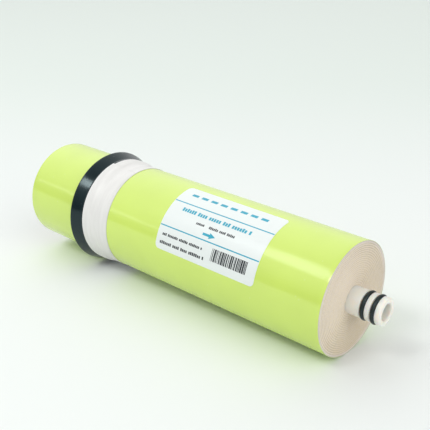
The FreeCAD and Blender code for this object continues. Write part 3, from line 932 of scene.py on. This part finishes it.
class MEMBRANE_OT_label(bpy.types.Operator):
    """Label on the film with its print: rules, a dashed row, plain bars, an arrow and a bar block"""

    bl_idname = "membrane.label"
    bl_label = "Label"

    def execute(self, context):
        label = context.scene.membrane.label
        sheet = self.sheet(label)
        attach(sheet, "label", "label")
        blue = self.print_on(label, "print_blue", self.blue_marks(label), ink("blue_ink", label.blue))
        dark = self.print_on(label, "print_dark", self.dark_marks(label), ink("dark_ink", label.dark))
        for piece in (blue, dark):
            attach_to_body(piece, BODY)
        return {"FINISHED"}

    @staticmethod
    def sheet(label):
        """Bent sheet: each row round the wrap is as long as the rounded corners leave it."""
        straight = label.width / 2 - label.corner
        bend = np.linspace(0, math.pi / 2, 9)
        edge = straight + label.corner * np.sin(bend)
        rows = np.concatenate([-edge[::-1], np.linspace(-straight, straight, 40)[1:-1], edge])[:, None]
        over = np.clip(np.abs(rows) - straight, 0, label.corner)
        shorter = label.corner - np.sqrt(np.maximum(label.corner ** 2 - over ** 2, 0))
        half = (LABEL_END - LABEL_START) / 2 - shorter
        columns = 60
        share = np.linspace(-1, 1, columns)
        loop = np.concatenate([share, share[::-1]])[None, :]
        upper = np.repeat([1.0, 0.0], columns)[None, :]
        along = (LABEL_START + LABEL_END) / 2 + half * loop
        turned = label.middle + rows / WRAP_RADIUS
        points = round_tube(along, WRAP_RADIUS + label.thickness * upper, turned)
        faces = grid_faces(len(rows), 2 * columns, close_columns=True)
        first_row = np.arange(2 * columns)
        ends = [first_row, (len(rows) - 1) * 2 * columns + first_row]
        return make_piece("label_sheet", points, [*faces, *ends], [label_film(label.white)])

    @staticmethod
    def block(left, right, top, bottom):
        """Rectangular mark: its span along the label at each place down it."""
        down = np.linspace(top, bottom, max(2, math.ceil((bottom - top) / (0.8 * MM)) + 1))
        return down, np.full_like(down, left), np.full_like(down, right)

    @classmethod
    def words(cls, left, right, middle, height, draw):
        """A line of plain bars in place of words, each bar one short block a letter wide."""
        marks = []
        letter = 0.62 * height
        place = left
        while place + letter < right:
            for _ in range(draw.integers(3, 8)):
                if place + letter > right:
                    break
                rise = height * draw.choice([0.36, 0.5])
                marks.append(cls.block(place, place + 0.78 * letter, middle - rise, middle + 0.36 * height))
                place += letter
            place += 0.8 * letter
        return marks

    @classmethod
    def blue_marks(cls, label):
        """Two rules, a row of dashes over them, a heading line of plain bars and an arrow."""
        length = LABEL_END - LABEL_START
        draw = np.random.default_rng(5)
        marks = [cls.block(0.3 * MM, length - 0.3 * MM, down, down + 0.75 * MM)
                 for down in (15.2 * MM, 34.0 * MM)]
        for left in np.arange(8, 72, 8.0) * MM:
            marks.append(cls.block(left, left + 5.2 * MM, 6.2 * MM, 8.4 * MM))
        marks += cls.words(10.5 * MM, 67.5 * MM, 20.4 * MM, 3.1 * MM, draw)
        marks.append(cls.block(34.2 * MM, 39.5 * MM, 30.0 * MM, 31.6 * MM))
        down = np.linspace(28.9 * MM, 32.7 * MM, 9)
        tip = 44.2 * MM - 2.4 * np.abs(down - 30.8 * MM)
        marks.append((down, np.full_like(down, 39.5 * MM), tip))
        return marks

    @classmethod
    def dark_marks(cls, label):
        """Lines of plain bars and a block of upright bars with made-up widths."""
        draw = np.random.default_rng(8)
        marks = []
        for left, right, middle, height in ((26, 34, 26.2, 1.8), (36.5, 57.5, 26.2, 2.0),
                                            (4.2, 38.6, 39.8, 2.0), (3.4, 42.0, 45.2, 2.3)):
            marks += cls.words(left * MM, right * MM, middle * MM, height * MM, draw)
        place = 45.6
        while place < 72.6:
            width = 0.3 * draw.integers(1, 5)
            marks.append(cls.block(place * MM, (place + width) * MM, 36.9 * MM, 44.7 * MM))
            place += width + 0.3 * draw.integers(1, 3)
        return marks

    @staticmethod
    def print_on(label, name, marks, material):
        """Thin ink for marks, each a span from left to right at places down the label.

        Every place gives four points round the ink's section, and neighbouring places are
        joined, so the ink bends with the label.
        """
        under = WRAP_RADIUS + label.thickness - 0.02 * MM
        over = WRAP_RADIUS + label.thickness + label.ink
        top = label.middle - label.width / 2 / WRAP_RADIUS
        points = []
        faces = []
        count = 0
        for down, left, right in marks:
            along = LABEL_START + np.stack([left, left, right, right], axis=-1)
            radius = np.array([under, over, over, under])[None, :]
            turned = top + down[:, None] / WRAP_RADIUS
            points.append(round_tube(along, radius, turned).reshape(-1, 3))
            last = 4 * (len(down) - 1)
            faces += [*(grid_faces(len(down), 4, close_columns=True) + count)]
            faces += [count + np.arange(4), count + last + np.arange(4)]
            count += 4 * len(down)
        return make_piece(name, np.concatenate(points), faces, [material])


# ---------------------------------------------------------------- stage

class MEMBRANE_OT_stage(bpy.types.Operator):
    """Pale floor that the part lies on, soft lamps and the camera"""

    bl_idname = "membrane.stage"
    bl_label = "Floor, Lamps and Camera"

    def execute(self, context):
        stage = context.scene.membrane.stage
        seal = context.scene.membrane.seal
        self.floor(stage, seal)
        self.sky(context.scene, stage)
        for name, sides, place in LAMPS:
            self.lamp(name + "_lamp", getattr(stage, name), sides, place)
        self.camera(context.scene, stage)
        return {"FINISHED"}

    @staticmethod
    def floor(stage, seal):
        """Plane that touches the seal's lip and the film's outlet edge, level for the camera.

        Its normal leans along the view only. A circle of radius r about X at x is touched where
        normal x position is least, nx x - r sqrt(1 - nx^2), and both circles share that value.
        """
        lip = WRAP_RADIUS + seal.base + seal.lip_rise
        slope = (WRAP_RADIUS - lip) / (ROLL_END - SEAL_START)
        lean_x = slope / math.sqrt(1 + slope ** 2)
        lean_y = -lean_x / math.tan(stage.azimuth)
        normal = Vector((lean_x, lean_y, math.sqrt(1 - lean_x ** 2 - lean_y ** 2)))
        level = normal.x * ROLL_END - WRAP_RADIUS * math.sqrt(1 - normal.x ** 2)
        right = Vector((math.cos(stage.azimuth), math.sin(stage.azimuth), 0))
        away = normal.cross(right)
        steps = np.linspace(-FLOOR_REACH, FLOOR_REACH, FLOOR_LINES)
        across, along = np.meshgrid(steps, steps)
        points = (np.array(normal) * level + across[..., None] * np.array(right)
                  + along[..., None] * np.array(away))
        faces = grid_faces(FLOOR_LINES, FLOOR_LINES)
        ground = make_piece("floor", points, faces, [pale_floor(stage, tuple(away))])
        if ground.data.polygons[0].normal.z < 0:
            ground.data.flip_normals()

    @staticmethod
    def sky(scene, stage):
        """Studio walls and ceiling: soft patches of light, added together.

        A patch's light is its strength x (cosine of the angle from its middle) ^ its sharpness.
        """
        world = bpy.data.worlds.new("studio")
        world.use_nodes = True
        tree = world.node_tree
        way = put(tree, "ShaderNodeTexCoord").outputs["Generated"]
        level = 0.0
        for direction, sharpness, strength in WALLS:
            middle = Vector(direction).normalized()
            facing = put(tree, "ShaderNodeVectorMath", {0: way, 1: middle}, operation="DOT_PRODUCT")
            patch = calc(tree, "POWER", calc(tree, "MAXIMUM", facing.outputs["Value"], 0.0), sharpness)
            level = calc(tree, "MULTIPLY_ADD", patch, strength * stage.walls, level)
        tree.links.new(level, tree.nodes["Background"].inputs["Strength"])
        tree.nodes["Background"].inputs["Color"].default_value = (1, 1, 1, 1)
        scene.world = world

    @staticmethod
    def lamp(name, brightness, sides, place):
        """Rectangular lamp at a place from the part's middle, aimed at it, of a given brightness."""
        light = bpy.data.lights.new(name, "AREA")
        light.shape = "RECTANGLE"
        light.size, light.size_y = sides
        light.energy = brightness * math.pi * sides[0] * sides[1]
        lamp = bpy.data.objects.new(name, light)
        middle = Vector(((ROLL_START + ROLL_END) / 2, 0, 0))
        lamp.location = middle + Vector(place)
        lamp.rotation_euler = Vector(place).to_track_quat("Z", "Y").to_euler()
        bpy.context.scene.collection.objects.link(lamp)

    @staticmethod
    def camera(scene, stage):
        """Camera at its azimuth and elevation, level, looking at the aim."""
        back = Vector((math.sin(stage.azimuth) * math.cos(stage.elevation),
                       -math.cos(stage.azimuth) * math.cos(stage.elevation),
                       math.sin(stage.elevation)))
        lens = bpy.data.cameras.new("camera")
        lens.lens = stage.lens
        lens.sensor_width = 36
        camera = bpy.data.objects.new("camera", lens)
        camera.location = Vector(stage.aim) + back * stage.distance
        camera.rotation_euler = back.to_track_quat("Z", "Y").to_euler()
        scene.collection.objects.link(camera)
        scene.camera = camera
        scene.view_settings.view_transform = "Standard"


PIECES = (
    MEMBRANE_OT_leaf_pack,
    MEMBRANE_OT_outer_film,
    MEMBRANE_OT_permeate_tube,
    MEMBRANE_OT_blind_plug,
    MEMBRANE_OT_o_rings,
    MEMBRANE_OT_lip_seal,
    MEMBRANE_OT_seal_tape,
    MEMBRANE_OT_label,
    MEMBRANE_OT_stage,
)


class MEMBRANE_PT_panel(bpy.types.Panel):
    """Steps that finish the membrane element"""

    bl_label = "Membrane Element"
    bl_idname = "MEMBRANE_PT_panel"
    bl_space_type = "VIEW_3D"
    bl_region_type = "UI"
    bl_category = "Membrane"

    def draw(self, context):
        for step in PIECES:
            self.layout.operator(step.bl_idname)


CLASSES = (
    MEMBRANE_PG_tube,
    MEMBRANE_PG_roll,
    MEMBRANE_PG_film,
    MEMBRANE_PG_seal,
    MEMBRANE_PG_tape,
    MEMBRANE_PG_label,
    MEMBRANE_PG_stage,
    MEMBRANE_PG_element,
    *PIECES,
    MEMBRANE_PT_panel,
)


def register():
    for item in CLASSES:
        bpy.utils.register_class(item)
    bpy.types.Scene.membrane = PointerProperty(type=MEMBRANE_PG_element)


def unregister():
    del bpy.types.Scene.membrane
    for item in reversed(CLASSES):
        bpy.utils.unregister_class(item)


def main():
    register()
    bpy.ops.membrane.leaf_pack()
    bpy.ops.membrane.outer_film()
    bpy.ops.membrane.permeate_tube()
    bpy.ops.membrane.blind_plug()
    bpy.ops.membrane.o_rings()
    bpy.ops.membrane.lip_seal()
    bpy.ops.membrane.seal_tape()
    bpy.ops.membrane.label()
    bpy.ops.membrane.stage()


if __name__ == "__main__":
    main()
